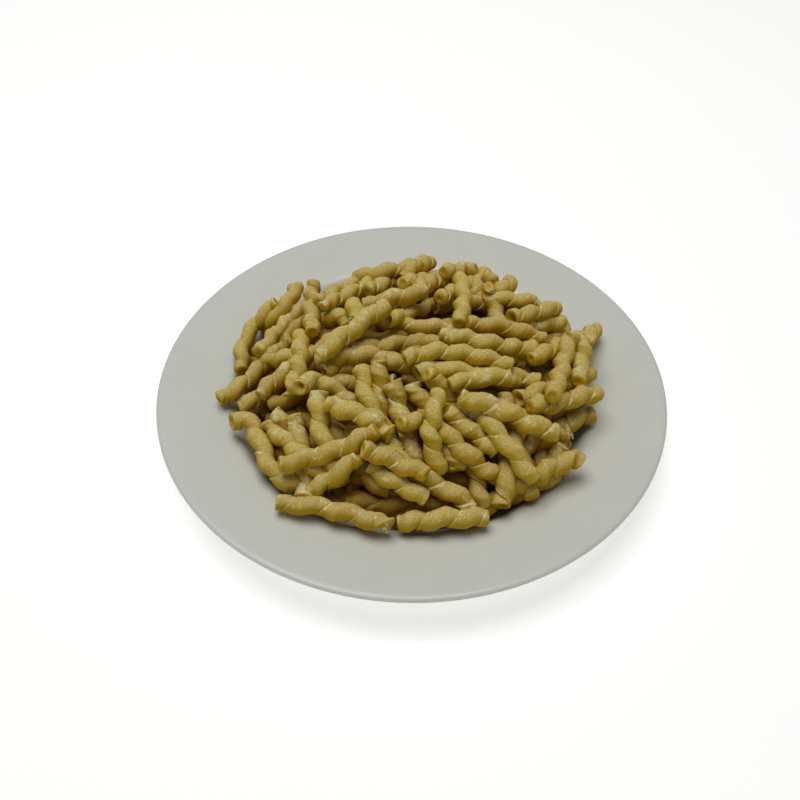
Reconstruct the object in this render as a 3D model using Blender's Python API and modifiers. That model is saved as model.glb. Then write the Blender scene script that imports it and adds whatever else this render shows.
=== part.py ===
"""A heap of flour dusted pasta twists on a round white plate with a broad rim.

Metres, Z up. The origin is under the plate's middle, on the ground. The twists were read by eye
from the picture, each as a few points along its middle, and the camera below turns those points
into places in the heap. Crossing twists are then eased apart until each lies on the ones below.
"""

import math
import random

import bmesh
import bpy
import numpy as np

# The plate
PLATE_RADIUS = 0.130
WELL_RADIUS = 0.078
FOOT_OUTER = 0.080
FOOT_INNER = 0.076
PLATE_HEIGHT = 0.024
PLATE_STEPS = 56
# Radius and height of the upper face, from the middle out to the edge
PLATE_TOP = (
    (0.0, 0.0075),
    (0.040, 0.0075),
    (WELL_RADIUS, 0.0077),
    (0.0845, 0.0095),
    (0.0885, 0.0130),
    (0.0915, 0.0165),
    (0.0945, 0.0186),
    (0.0990, 0.0197),
    (0.1100, 0.0214),
    (0.1200, 0.0229),
    (0.1275, PLATE_HEIGHT),
)
PLATE_EDGE = ((0.1292, 0.0238), (PLATE_RADIUS, 0.0230), (0.1294, 0.0221), (0.1270, 0.0214))
# The underside, from the edge in to the middle, round the foot ring
PLATE_UNDER = (
    (0.1120, 0.0186),
    (0.0985, 0.0158),
    (0.0935, 0.0128),
    (0.0895, 0.0085),
    (0.0850, 0.0050),
    (0.0808, 0.0030),
    (FOOT_OUTER, 0.0),
    (FOOT_INNER, 0.0),
    (0.0752, 0.0030),
    (0.0, 0.0036),
)

# The heap
HEAP_RADIUS = 0.100
HEAP_RISE = 0.042
TWIST_WIDTH = 0.0088
TWIST_LENGTH = 0.050
LONGEST = 1.12
NODE_GAP = 0.0003
CLEARANCE = 0.0008
CORE_RADIUS = 0.090
CORE_SHOULDER = 0.076
CORE_DEPTH = 0.85
CORE_RINGS = 10
CORE_SPOKES = 28

# A twist: a lobed section that turns along its middle
TWIST_SIDES = 6
TWIST_RINGS = 6
FILL_SIDES = 5
FILL_RINGS = 4
LOBE = 0.13
TURN_LENGTH = 0.026
MOST_SCRAP_FACES = 24

# The view that the points below are read in, 800 picture points a side
CAMERA_DISTANCE = 0.440
CAMERA_PITCH = math.radians(47.55)
CAMERA_FOCAL = 871.5
CAMERA_TARGET = (-0.0058, -0.0162, 0.024)
PICTURE_MIDDLE = 400.0

# How the twists settle
SAMPLES = 13
CONTACT = 0.88
KEEP = 0.03
KEEP_LIFTED = 0.3
BEND_COST = 0.3
TILT_COST = 0.25
TILT_SHARE = 0.8
FLOOR_COST = 6.0
ROUNDS = 26
UNSEEN_WEIGHT = 0.1

# Plain twists that cover the core where the picture doesn't look
FILL_COUNT = 36
FILL_TRIES = 6000
FILL_SPACING = 0.62
MOST_FILL_GAP = 0.69
FILL_SEED = 11
HIDING_REACH = 15.0
HIDDEN_SHARE = 0.9

# Each twist is (points from tail to head, hidden end, lift of tail and head in mm). The later ones
# lie over the earlier ones. A hidden end, t for tail, h for head, b for both, runs on out of sight.
LEFT_TWISTS = (
    (((264, 363), (312, 354)), "h", None),
    (((276, 302), (253, 328), (242, 349), (242, 371)), "", (-5, -13)),
    (((303, 308), (284, 325), (259, 352)), "", (-2, -10)),
    (((240, 409), (280, 386)), "h", None),
    (((270, 405), (292, 398), (316, 386)), "h", None),
    (((274, 412), (284, 425), (290, 444)), "h", None),
    (((293, 416), (298, 430), (301, 452)), "h", None),
    (((268, 426), (282, 438), (304, 458)), "h", None),
    (((219, 399), (240, 387), (263, 366)), "h", None),
    (((260, 396), (274, 381), (304, 360)), "h", None),
    (((300, 334), (300, 352), (298, 370), (290, 397)), "", None),
    (((230, 422), (248, 420), (262, 447), (275, 475), (300, 485)), "", (-3, -8)),
    (((318, 322), (337, 317), (353, 325)), "", None),
    (((313, 282), (312, 305), (312, 332)), "", (14, 0)),
    (((298, 287), (282, 310)), "h", None),
)
MIDDLE_LEFT_TWISTS = (
    (((326, 385), (362, 383)), "b", None),
    (((323, 373), (340, 368), (360, 366)), "h", None),
    (((298, 388), (316, 379), (336, 391)), "h", None),
    (((319, 392), (319, 410), (320, 430), (326, 445)), "h", None),
    (((372, 350), (392, 347), (412, 350)), "b", None),
    (((349, 351), (380, 347)), "h", None),
    (((350, 357), (368, 355), (386, 360)), "b", None),
    (((386, 362), (412, 366)), "h", None),
    (((379, 360), (380, 378), (381, 402)), "h", (0, -8)),
    (((391, 381), (398, 404)), "h", (0, -10)),
    (((410, 384), (420, 398), (427, 411)), "h", (2, -4)),
    (((362, 369), (364, 385), (368, 402), (380, 424)), "h", None),
    (((327, 404), (347, 410), (368, 419), (392, 435)), "", None),
    (((400, 423), (440, 421)), "h", None),
)
TOP_TWISTS = (
    (((318, 302), (345, 288), (366, 281)), "", (0, -3)),
    (((322, 306), (345, 296), (376, 281)), "h", None),
    (((368, 291), (402, 275)), "h", (4, 0)),
    (((378, 274), (410, 267)), "b", None),
    (((404, 278), (419, 262)), "", None),
    (((403, 284), (428, 281)), "h", None),
    (((418, 288), (454, 275)), "h", None),
    (((485, 272), (478, 284), (472, 296)), "h", None),
    (((444, 272), (476, 269)), "", (-3, -2)),
    (((484, 274), (497, 288)), "", (-6, -4)),
    (((500, 293), (513, 280)), "t", None),
    (((488, 286), (497, 318)), "h", (3, 0)),
    (((500, 300), (534, 301)), "t", None),
    (((563, 322), (526, 328)), "h", None),
    (((511, 318), (557, 308)), "", None),
    (((422, 342), (448, 347)), "h", None),
    (((402, 325), (453, 330)), "b", None),
    (((404, 315), (388, 321)), "t", (-7, -9)),
    (((433, 306), (455, 305)), "h", None),
    (((440, 298), (457, 290)), "h", None),
    (((460, 277), (463, 300), (459, 324)), "", None),
    (((468, 323), (505, 328), (544, 339)), "", (0, 6)),
    (((364, 306), (392, 299), (427, 291)), "", None),
    (((353, 302), (358, 321)), "", None),
    (((320, 356), (340, 339), (365, 320), (386, 306)), "", None),
    (((442, 336), (465, 339), (500, 346), (538, 351)), "", (0, 6)),
)
RIGHT_TWISTS = (
    (((516, 378), (539, 381)), "t", None),
    (((517, 399), (549, 388)), "h", None),
    (((531, 359), (548, 352), (568, 341)), "", None),
    (((574, 350), (596, 329)), "t", None),
    (((570, 350), (580, 338), (593, 343)), "t", None),
    (((582, 338), (581, 360), (578, 382)), "", None),
    (((530, 407), (560, 401), (598, 393)), "", None),
    (((573, 333), (566, 352), (559, 375), (552, 396)), "", None),
    (((556, 431), (575, 420), (592, 414)), "t", None),
    (((537, 463), (553, 451), (566, 442)), "t", None),
    (((545, 440), (571, 431)), "t", None),
    (((538, 474), (552, 463), (563, 446)), "", None),
    (((548, 470), (568, 461), (584, 460)), "t", (-2, 0)),
)
MIDDLE_RIGHT_TWISTS = (
    (((416, 374), (435, 368), (478, 375)), "h", None),
    (((405, 359), (430, 352), (460, 353), (490, 360), (512, 366)), "", None),
    (((427, 374), (440, 382), (448, 397)), "h", None),
    (((450, 385), (470, 380), (490, 378), (510, 377)), "", None),
    (((438, 426), (462, 450), (498, 479)), "", None),
    (((446, 411), (472, 432), (496, 452)), "", None),
    (((483, 418), (504, 442), (521, 463), (534, 480)), "", None),
    (((460, 397), (495, 408), (530, 424), (557, 433)), "", None),
    (((438, 392), (434, 412), (430, 432), (434, 455), (440, 472)), "", None),
)
FRONT_TWISTS = (
    (((484, 508), (481, 496)), "h", (-8, -16)),
    (((501, 508), (503, 493), (506, 480)), "h", (-8, -4)),
    (((418, 474), (432, 483), (450, 491), (471, 509)), "t", (-4, -6)),
    (((370, 466), (395, 482), (426, 499)), "", None),
    (((279, 464), (318, 456), (352, 444), (376, 430)), "", None),
    (((308, 493), (330, 480), (350, 464), (358, 456)), "", (-8, 0)),
    (((362, 449), (380, 455), (400, 464), (427, 474)), "", None),
    (((398, 523), (440, 519), (487, 517)), "", (-2, -3)),
    (((277, 503), (330, 509), (392, 526)), "", (-1, -4)),
)
TWISTS = (
    LEFT_TWISTS + MIDDLE_LEFT_TWISTS + TOP_TWISTS + RIGHT_TWISTS + MIDDLE_RIGHT_TWISTS + FRONT_TWISTS
)

# The camera's axes, as rows of the world
VIEW = np.array([0.0, math.cos(CAMERA_PITCH), -math.sin(CAMERA_PITCH)])
VIEW_UP = np.array([0.0, math.sin(CAMERA_PITCH), math.cos(CAMERA_PITCH)])
VIEW_RIGHT = np.array([1.0, 0.0, 0.0])
EYE = np.array(CAMERA_TARGET) - CAMERA_DISTANCE * VIEW

ALONG = np.linspace(0, 1, SAMPLES)
# A twist's heights follow a parabola through those at its tail, middle and head
PARABOLA = np.stack(
    [(1 - ALONG) * (1 - 2 * ALONG), 4 * ALONG * (1 - ALONG), ALONG * (2 * ALONG - 1)], axis=1
)


def plate_height(radius):
    """Height of the plate's upper face at this radius."""
    at, height = np.array(PLATE_TOP).T
    return np.interp(radius, at, height)


def rest_height(radius):
    """Height of a twist's middle where its thickest section just clears the plate."""
    reach = TWIST_WIDTH * (0.5 + LOBE / 2) + CLEARANCE
    aside = np.linspace(-1, 1, 9) * reach
    below = plate_height(np.asarray(radius)[..., None] + aside)
    return (below + np.sqrt(reach**2 - aside**2)).max(axis=-1)


def mound_height(x, y):
    """Height of the smooth mound that the outermost twists follow."""
    share = 1 - (np.hypot(x, y) / HEAP_RADIUS) ** 2
    low = PLATE_HEIGHT - 0.003 + TWIST_WIDTH * 0.9
    return low + (HEAP_RISE - TWIST_WIDTH * 0.9) * share


def rays(pixels):
    """The way of each picture point, one unit deep."""
    across = (pixels[..., 0:1] - PICTURE_MIDDLE) / CAMERA_FOCAL
    rise = (PICTURE_MIDDLE - pixels[..., 1:2]) / CAMERA_FOCAL
    return VIEW + across * VIEW_RIGHT + rise * VIEW_UP


def on_ray(pixels, height):
    """The places at these heights that are seen at these picture points."""
    way = rays(pixels)
    return EYE + way * ((height - EYE[2]) / way[..., 2])[..., None]


def in_picture(spots):
    """Where places are seen in the picture, and how deep."""
    way = spots - EYE
    depth = way @ VIEW
    across = PICTURE_MIDDLE + CAMERA_FOCAL * way[:, 0] / depth
    down = PICTURE_MIDDLE - CAMERA_FOCAL * (way @ VIEW_UP) / depth
    return np.stack([across, down], axis=1), depth


def smooth_path(points):
    """Evenly spaced points on a smooth line through the given ones."""
    points = np.array(points, float)
    ends = np.concatenate([[2 * points[0] - points[1]], points, [2 * points[-1] - points[-2]]])
    line = []
    for a, b, c, d in zip(ends, ends[1:], ends[2:], ends[3:]):
        for t in np.linspace(0, 1, 9)[:-1]:
            line.append(
                0.5 * (2 * b + (c - a) * t + (2 * a - 5 * b + 4 * c - d) * t**2)
                + 0.5 * (3 * b - 3 * c + d - a) * t**3
            )
    line = np.array(line + [points[-1]])
    run = np.concatenate([[0], np.linalg.norm(np.diff(line, axis=0), axis=1).cumsum()])
    at = np.linspace(0, run[-1], SAMPLES)
    return np.stack([np.interp(at, run, line[:, c]) for c in range(2)], axis=1)


def surface_heights(pixels):
    """Heights half a width below the mound, found by steps along each ray."""
    height = np.full(pixels.shape[:-1], PLATE_HEIGHT + HEAP_RISE * 0.5)
    for _ in range(60):
        spot = on_ray(pixels, height)
        x, y = spot[..., 0], spot[..., 1]
        wanted = mound_height(x, y) - TWIST_WIDTH / 2
        wanted = np.maximum(wanted, plate_height(np.hypot(x, y)) + TWIST_WIDTH / 2)
        height = height + 0.5 * (wanted - height)
    return height


def extended(pixels, hidden):
    """Runs the hidden ends of a twist on to full length, and says which points are seen."""
    points = on_ray(pixels, surface_heights(pixels))
    length = np.linalg.norm(np.diff(points, axis=0), axis=1).sum()
    missing = TWIST_LENGTH - length
    if missing <= 0.002 or not hidden:
        return pixels, np.ones(SAMPLES, bool)
    scale = length / np.linalg.norm(np.diff(pixels, axis=0), axis=1).sum()
    before = missing * {"t": 1, "h": 0, "b": 0.5}[hidden]
    after = missing - before
    whole = [tuple(point) for point in pixels[::3]]
    if before:
        way = pixels[0] - pixels[3]
        whole.insert(0, tuple(pixels[0] + way / np.linalg.norm(way) * before / scale))
    if after:
        way = pixels[-1] - pixels[-4]
        whole.append(tuple(pixels[-1] + way / np.linalg.norm(way) * after / scale))
    run = np.linspace(0, length + missing, SAMPLES)
    return smooth_path(whole), (run >= before - 1e-6) & (run <= length + before + 1e-6)


def crossings(pixels, seen, scale):
    """Pairs of points that cross in the view, as (lower, upper, depth between them, weight)."""
    flat = pixels.reshape(-1, 2)
    scale = scale.reshape(-1)
    seen = seen.reshape(-1)
    lower, upper, needed, weight = [], [], [], []
    touch = TWIST_WIDTH * CONTACT
    for start in range(0, len(flat) - SAMPLES, SAMPLES):
        mine = slice(start, start + SAMPLES)
        rest = slice(start + SAMPLES, None)
        apart = np.linalg.norm(flat[mine, None] - flat[None, rest], axis=-1) * scale[mine, None]
        i, j = np.nonzero(apart < touch)
        needed.append(np.sqrt(touch**2 - apart[i, j] ** 2))
        i, j = i + start, j + start + SAMPLES
        swap = seen[i] & ~seen[j]
        lower.append(np.where(swap, j, i))
        upper.append(np.where(swap, i, j))
        weight.append(np.where(seen[i] & seen[j], 1.0, UNSEEN_WEIGHT))
    return [np.concatenate(part) for part in (lower, upper, needed, weight)]


def settled(pixels, seen, target, keep):
    """Heights that keep crossing twists apart, near their targets and off the plate."""
    count = len(pixels)
    scale = ((on_ray(pixels, target) - EYE) @ VIEW) / CAMERA_FOCAL
    lower, upper, needed, firm = crossings(pixels, seen, scale)
    basis = np.tile(PARABOLA, (count, 1))
    unknown = np.repeat(np.arange(count), SAMPLES)[:, None] * 3 + np.arange(3)
    fall = rays(pixels)[..., 2].reshape(-1)
    weight = np.repeat(keep, SAMPLES)
    fixed = np.zeros((3 * count, 3 * count))
    aim = np.zeros(3 * count)
    pairs = (unknown[:, :, None], unknown[:, None, :])
    np.add.at(fixed, pairs, weight[:, None, None] * basis[:, :, None] * basis[:, None, :])
    np.add.at(aim, unknown, weight[:, None] * basis * target.reshape(-1)[:, None])
    bend = np.array([-0.5, 1.0, -0.5])
    tilt = np.array([-1.0, 0.0, 1.0])
    stiff = BEND_COST * np.outer(bend, bend) + TILT_COST * np.outer(tilt, tilt)
    for k in range(count):
        mine = slice(3 * k, 3 * k + 3)
        fixed[mine, mine] += stiff
        aim[mine] += TILT_COST * TILT_SHARE * (target[k, -1] - target[k, 0]) * tilt
    heights = target[:, [0, SAMPLES // 2, -1]].reshape(-1)
    for turn in range(ROUNDS):
        z = (basis * heights[unknown]).sum(axis=1)
        depth = (z - EYE[2]) / fall
        close = depth[lower] - depth[upper] < needed
        low, high = lower[close], upper[close]
        columns = np.concatenate([unknown[low], unknown[high]], axis=1)
        row = np.concatenate([basis[low] / fall[low, None], -basis[high] / fall[high, None]], axis=1)
        want = needed[close] + EYE[2] * (1 / fall[low] - 1 / fall[high])
        held = firm[close][:, None]
        matrix = fixed.copy()
        right = aim.copy()
        pairs = (columns[:, :, None], columns[:, None, :])
        np.add.at(matrix, pairs, held[:, None] * row[:, :, None] * row[:, None, :])
        np.add.at(right, columns, held * row * want[:, None])
        spot = on_ray(pixels.reshape(-1, 2), z)
        floor = plate_height(np.hypot(spot[:, 0], spot[:, 1])) + TWIST_WIDTH / 2 + CLEARANCE
        hit = z < floor
        pairs = (unknown[hit][:, :, None], unknown[hit][:, None, :])
        np.add.at(matrix, pairs, FLOOR_COST * basis[hit][:, :, None] * basis[hit][:, None, :])
        np.add.at(right, unknown[hit], FLOOR_COST * basis[hit] * floor[hit][:, None])
        step = 0.5 if turn < ROUNDS - 8 else 0.3
        heights = heights + step * (np.linalg.solve(matrix, right) - heights)
    return (basis * heights[unknown]).sum(axis=1).reshape(count, SAMPLES)


def trimmed(points, seen):
    """Cuts hidden ends back until the twist is no longer than it should be."""
    step = np.linalg.norm(np.diff(points, axis=0), axis=1)
    run = np.concatenate([[0], step.cumsum()])
    first = run[seen.argmax()]
    last = run[len(seen) - 1 - seen[::-1].argmax()]
    hidden = first + run[-1] - last
    spare = max(TWIST_LENGTH * LONGEST - (last - first), 0)
    share = min(1.0, spare / hidden) if hidden > 0 else 0.0
    at = np.linspace(first - first * share, last + (run[-1] - last) * share, len(points))
    return np.stack([np.interp(at, run, points[:, c]) for c in range(3)], axis=1)


def laid_twists():
    """The middle line of every twist, in metres."""
    pixels, seen, lifts = [], [], []
    for path, hidden, lift in TWISTS:
        line, shown = extended(smooth_path(path), hidden)
        pixels.append(line)
        seen.append(shown)
        tail, head = lift or (0, 0)
        lifts.append((tail + (head - tail) * ALONG) * 0.001)
    pixels, seen = np.array(pixels), np.array(seen)
    target = surface_heights(pixels) + np.array(lifts)
    keep = np.array([KEEP_LIFTED if lift else KEEP for path, hidden, lift in TWISTS])
    points = on_ray(pixels, settled(pixels, seen, target, keep))
    points = [trimmed(line, shown) for line, shown in zip(points, seen)]
    return np.array([off_plate(line) for line in points])


def off_plate(line):
    """Moves a twist towards the eye until it clears the plate."""
    way = (line - EYE) / ((line - EYE) @ VIEW)[:, None]
    for _ in range(6):
        under = rest_height(np.hypot(line[:, 0], line[:, 1])) - line[:, 2]
        line = line + way * min((under / way[:, 2]).min(), 0)
    return line


def fill_twists(lines):
    """Twists for the bare parts of the core, out of sight of the camera."""
    rng = random.Random(FILL_SEED)
    shown = lines.reshape(-1, 3)
    shown_at, shown_depth = in_picture(shown)
    placed = []
    others = shown
    for _ in range(FILL_TRIES):
        turn = rng.uniform(0, math.tau)
        reach = HEAP_RADIUS * 0.92 * math.sqrt(rng.random())
        heading = turn + math.pi / 2 + rng.uniform(-0.9, 0.9)
        length = TWIST_LENGTH * rng.uniform(0.85, 1.0)
        along = (ALONG - 0.5) * length
        across = rng.uniform(-0.10, 0.10) * length * (1 - 4 * (ALONG - 0.5) ** 2)
        x = reach * math.cos(turn) + along * math.cos(heading) - across * math.sin(heading)
        y = reach * math.sin(turn) + along * math.sin(heading) + across * math.cos(heading)
        radius = np.hypot(x, y)
        if radius.max() > HEAP_RADIUS * 0.97:
            continue
        z = np.minimum(core_top(radius) + TWIST_WIDTH * 0.3, mound_height(x, y))
        line = np.stack([x, y, np.maximum(z, rest_height(radius))], axis=1)
        gap = np.linalg.norm(line[:, None] - others[None], axis=-1).min()
        loose = radius.min() > CORE_SHOULDER and gap > TWIST_WIDTH * MOST_FILL_GAP
        if loose or gap < TWIST_WIDTH * FILL_SPACING:
            continue
        at, depth = in_picture(line)
        apart = np.linalg.norm(at[:, None] - shown_at[None], axis=-1)
        hiding = (apart < HIDING_REACH) & (shown_depth[None] < depth[:, None])
        if hiding.any(axis=1).mean() < HIDDEN_SHARE:
            continue
        placed.append(line)
        others = np.concatenate([others, line])
        if len(placed) == FILL_COUNT:
            break
    return placed


def new_collection(name):
    collection = bpy.data.collections.new(name)
    bpy.context.scene.collection.children.link(collection)
    return collection


def new_object(name, mesh, collection):
    made = bpy.data.objects.new(name, mesh)
    collection.objects.link(made)
    return made


def mesh_from(bm, name, material):
    """Turns a finished bmesh into a mesh with one material."""
    bmesh.ops.recalc_face_normals(bm, faces=bm.faces)
    if bm.calc_volume(signed=True) < 0:
        bmesh.ops.reverse_faces(bm, faces=bm.faces)
    bmesh.ops.triangulate(bm, faces=bm.faces)
    mesh = bpy.data.meshes.new(name)
    bm.to_mesh(mesh)
    bm.free()
    mesh.materials.append(material)
    return mesh


def shade_smooth(made):
    made.data.polygons.foreach_set("use_smooth", [True] * len(made.data.polygons))


def new_material(name, colour, roughness):
    material = bpy.data.materials.new(name)
    material.use_nodes = True
    shader = material.node_tree.nodes["Principled BSDF"]
    shader.inputs["Base Color"].default_value = (*colour, 1.0)
    shader.inputs["Roughness"].default_value = roughness
    shader.inputs["Metallic"].default_value = 0.0
    return material


def make_plate(collection, glaze):
    """The plate's section, turned round the middle."""
    section = PLATE_TOP + PLATE_EDGE + PLATE_UNDER
    mesh = bpy.data.meshes.new("plate")
    edges = [(k, k + 1) for k in range(len(section) - 1)]
    mesh.from_pydata([(radius, 0.0, height) for radius, height in section], edges, [])
    mesh.materials.append(glaze)
    plate = new_object("plate", mesh, collection)
    screw = plate.modifiers.new("turned", "SCREW")
    screw.steps = PLATE_STEPS
    screw.render_steps = PLATE_STEPS
    screw.use_merge_vertices = True
    screw.merge_threshold = 0.0001
    screw.use_smooth_shade = True
    return plate


def core_under(radius):
    return plate_height(radius) + NODE_GAP


def core_top(radius):
    """The core's upper face: under the mound, then down a slope to the plate."""
    under_mound = mound_height(radius, 0) - TWIST_WIDTH * CORE_DEPTH
    side = np.clip((CORE_RADIUS - radius) / (CORE_RADIUS - CORE_SHOULDER), 0, 1)
    foot = core_under(radius) + 0.002
    return foot + np.maximum(under_mound - foot, 0) * np.sqrt(side)


def make_core(collection, pasta):
    """The closed mass inside the heap, which the twists are fused on to."""
    bm = bmesh.new()
    bmesh.ops.create_circle(bm, segments=CORE_SPOKES, radius=CORE_RADIUS, cap_ends=True)
    under = list(bm.faces)
    grown = bmesh.ops.extrude_face_region(bm, geom=under)
    upper = [part for part in grown["geom"] if isinstance(part, bmesh.types.BMFace)]
    for face in upper:
        for vert in face.verts:
            vert.co.z = core_top(CORE_RADIUS)
    for part, level in ((upper, core_top), (under, core_under)):
        faces = part
        for ring in range(CORE_RINGS, 0, -1):
            radius = CORE_RADIUS * (ring - 1) / CORE_RINGS
            if ring == 1:
                middle = bmesh.ops.poke(bm, faces=faces)["verts"][0]
                middle.co.z = level(0.0)
                continue
            bmesh.ops.inset_region(bm, faces=faces, thickness=0.001)
            for vert in faces[0].verts:
                scale = radius / math.hypot(vert.co.x, vert.co.y)
                vert.co.x *= scale
                vert.co.y *= scale
                vert.co.z = level(radius)
    for vert in bm.verts:
        radius = math.hypot(vert.co.x, vert.co.y)
        if abs(radius - CORE_RADIUS) < 1e-6 and vert.co.z < core_top(CORE_RADIUS) - 1e-6:
            vert.co.z = core_under(CORE_RADIUS)
    return new_object("pasta_heap", mesh_from(bm, "pasta_heap", pasta), collection)


def make_twist(number, line, sides, most_rings, collection, pasta):
    """One twist: rings of a lobed section that turn along its middle line."""
    step = np.linalg.norm(np.diff(line, axis=0), axis=1)
    run = np.concatenate([[0], step.cumsum()])
    rings = max(4, min(most_rings, round(run[-1] / (TURN_LENGTH / 3)) + 1))
    bm = bmesh.new()
    bmesh.ops.create_circle(bm, segments=sides, radius=TWIST_WIDTH / 2, cap_ends=True)
    front = list(bm.faces)
    sections = [list(front[0].verts)]
    for ring in range(1, rings):
        grown = bmesh.ops.extrude_face_region(bm, geom=front)
        if ring > 1:
            bmesh.ops.delete(bm, geom=front, context="FACES_ONLY")
        front = [part for part in grown["geom"] if isinstance(part, bmesh.types.BMFace)]
        sections.append(list(front[0].verts))
    for k, verts in enumerate(sections):
        at = run[-1] * k / (rings - 1)
        middle = np.array([np.interp(at, run, line[:, c]) for c in range(3)])
        ahead = np.array([np.interp(at + 0.001, run, line[:, c]) for c in range(3)])
        behind = np.array([np.interp(at - 0.001, run, line[:, c]) for c in range(3)])
        way = (ahead - behind) / np.linalg.norm(ahead - behind)
        side = np.cross(way, (0, 0, 1))
        side /= np.linalg.norm(side)
        rise = np.cross(side, way)
        turned = math.tau * at / TURN_LENGTH + number * 1.7
        for n, vert in enumerate(sorted(verts, key=lambda v: math.atan2(v.co.y, v.co.x))):
            angle = math.tau * n / sides + turned * 0.25
            reach = TWIST_WIDTH / 2 * (1 + LOBE * math.cos(2 * (angle - turned)))
            vert.co = middle + reach * (math.cos(angle) * side + math.sin(angle) * rise)
    return new_object(f"twist_{number:03d}", mesh_from(bm, "twist", pasta), collection)


def keep_largest_body(mesh):
    """Drops loose scraps, and the inner skins of hollows that the fusing sealed."""
    bm = bmesh.new()
    bm.from_mesh(mesh)
    left = set(bm.faces)
    bodies = []
    while left:
        body = {left.pop()}
        edge_of_body = list(body)
        while edge_of_body:
            face = edge_of_body.pop()
            for edge in face.edges:
                fresh = [other for other in edge.link_faces if other in left]
                left.difference_update(fresh)
                body.update(fresh)
                edge_of_body.extend(fresh)
        bodies.append(body)
    largest = max(bodies, key=len)
    for body in bodies:
        if body is largest:
            continue
        if len(body) > MOST_SCRAP_FACES:
            raise RuntimeError("a twist lies loose beside the heap")
        bmesh.ops.delete(bm, geom=list(body), context="FACES")
    bm.to_mesh(mesh)
    bm.free()


def fuse(core, twists):
    """Joins the collection's pieces to the core as one body, then removes them."""
    bpy.context.view_layer.update()
    joint = core.modifiers.new("fused", "BOOLEAN")
    joint.operation = "UNION"
    joint.solver = "MANIFOLD"
    joint.operand_type = "COLLECTION"
    joint.collection = twists
    graph = bpy.context.evaluated_depsgraph_get()
    mesh = bpy.data.meshes.new_from_object(core.evaluated_get(graph))
    core.modifiers.clear()
    keep_largest_body(mesh)
    core.data = mesh
    for piece in list(twists.objects):
        bpy.data.objects.remove(piece)
    bpy.data.collections.remove(twists)


def main():
    for old in list(bpy.data.objects):
        bpy.data.objects.remove(old)
    dish = new_collection("pasta_plate")
    twists = new_collection("twists")
    twists.hide_render = True
    glaze = new_material("white_glaze", (0.72, 0.73, 0.69), 0.18)
    pasta = new_material("pasta", (0.72, 0.53, 0.21), 0.6)
    make_plate(dish, glaze)
    core = make_core(dish, pasta)
    lines = laid_twists()
    for number, line in enumerate(lines):
        make_twist(number, line, TWIST_SIDES, TWIST_RINGS, twists, pasta)
    for number, line in enumerate(fill_twists(lines), len(lines)):
        make_twist(number, line, FILL_SIDES, FILL_RINGS, twists, pasta)
    fuse(core, twists)
    shade_smooth(core)


main()
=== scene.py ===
"""A heap of flour dusted pasta twists on a white plate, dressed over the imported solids."""

import math
import random

import bmesh
import bpy
import numpy as np
from bpy.props import FloatProperty, FloatVectorProperty, IntProperty, PointerProperty
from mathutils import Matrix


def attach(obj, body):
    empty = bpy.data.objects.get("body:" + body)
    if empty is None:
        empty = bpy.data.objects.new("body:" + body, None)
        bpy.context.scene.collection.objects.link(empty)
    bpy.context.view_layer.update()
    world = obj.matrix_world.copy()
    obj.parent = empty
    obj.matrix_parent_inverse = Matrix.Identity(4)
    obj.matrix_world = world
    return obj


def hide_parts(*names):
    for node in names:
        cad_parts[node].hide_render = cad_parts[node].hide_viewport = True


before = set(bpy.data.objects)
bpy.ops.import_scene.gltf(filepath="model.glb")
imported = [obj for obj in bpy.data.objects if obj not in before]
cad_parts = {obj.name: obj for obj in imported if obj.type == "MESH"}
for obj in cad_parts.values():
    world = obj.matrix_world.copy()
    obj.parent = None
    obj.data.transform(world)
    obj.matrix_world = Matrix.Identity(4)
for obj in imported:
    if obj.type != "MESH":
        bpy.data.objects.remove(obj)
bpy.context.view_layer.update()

bl_info = {
    "name": "Plate of pasta",
    "version": (1, 0, 0),
    "blender": (4, 5, 0),
    "location": "View3D > Sidebar > Pasta",
    "description": "Dresses a plate of flour dusted pasta twists",
    "category": "Object",
}

# The plate, radius and height in metres
PLATE_HEIGHT = 0.024
PLATE_TOP = (
    (0.0, 0.0075), (0.040, 0.0075), (0.078, 0.0077), (0.0845, 0.0095), (0.0885, 0.0130),
    (0.0915, 0.0165), (0.0945, 0.0186), (0.0990, 0.0197), (0.1100, 0.0214), (0.1200, 0.0229),
    (0.1275, PLATE_HEIGHT),
)
PLATE_LIP = (
    (0.1275, PLATE_HEIGHT), (0.1287, 0.02392), (0.1296, 0.02345), (0.1300, 0.0227),
    (0.1296, 0.0220), (0.1286, 0.0216), (0.1270, 0.0214),
)
PLATE_UNDER = (
    (0.1120, 0.0186), (0.0985, 0.0158), (0.0935, 0.0128), (0.0895, 0.0085), (0.0850, 0.0050),
    (0.0808, 0.0030), (0.0800, 0.0), (0.0760, 0.0), (0.0752, 0.0030), (0.0, 0.0036),
)
PLATE_STEPS = 144

# The heap
HEAP_RADIUS = 0.100
HEAP_RISE = 0.042
TWIST_WIDTH = 0.0088
TWIST_LENGTH = 0.050
LONGEST = 1.12
CLEARANCE = 0.0008
LOBE = 0.13

# The view that the points below are read in, 800 picture points a side
CAMERA_DISTANCE = 0.440
CAMERA_PITCH = math.radians(47.55)
CAMERA_FOCAL = 871.5
CAMERA_TARGET = (-0.0058, -0.0162, 0.024)
PICTURE_MIDDLE = 400.0

# How the twists settle
SAMPLES = 13
CONTACT = 0.88
KEEP = 0.03
KEEP_LIFTED = 0.3
BEND_COST = 0.3
TILT_COST = 0.25
TILT_SHARE = 0.8
FLOOR_COST = 6.0
ROUNDS = 26
UNSEEN_WEIGHT = 0.1

# The rolled strip: length of one turn in metres, and the ranges of what is seeded, to the usual value
PITCH = 0.0125
PITCH_RANGE = (0.92, 1.35)
WIDTH_RANGE = (0.95, 1.06)
# The groove between the strip's edges, in shares of the radius and of the way round
CREASE = 0.19
CREASE_RANGE = (0.75, 1.2)
GROOVE_WIDTH = 0.11
# What is left of the groove at the ends, and the length in metres over which it fades there
END_CREASE = 0.45
END_EASE = 0.006
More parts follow.
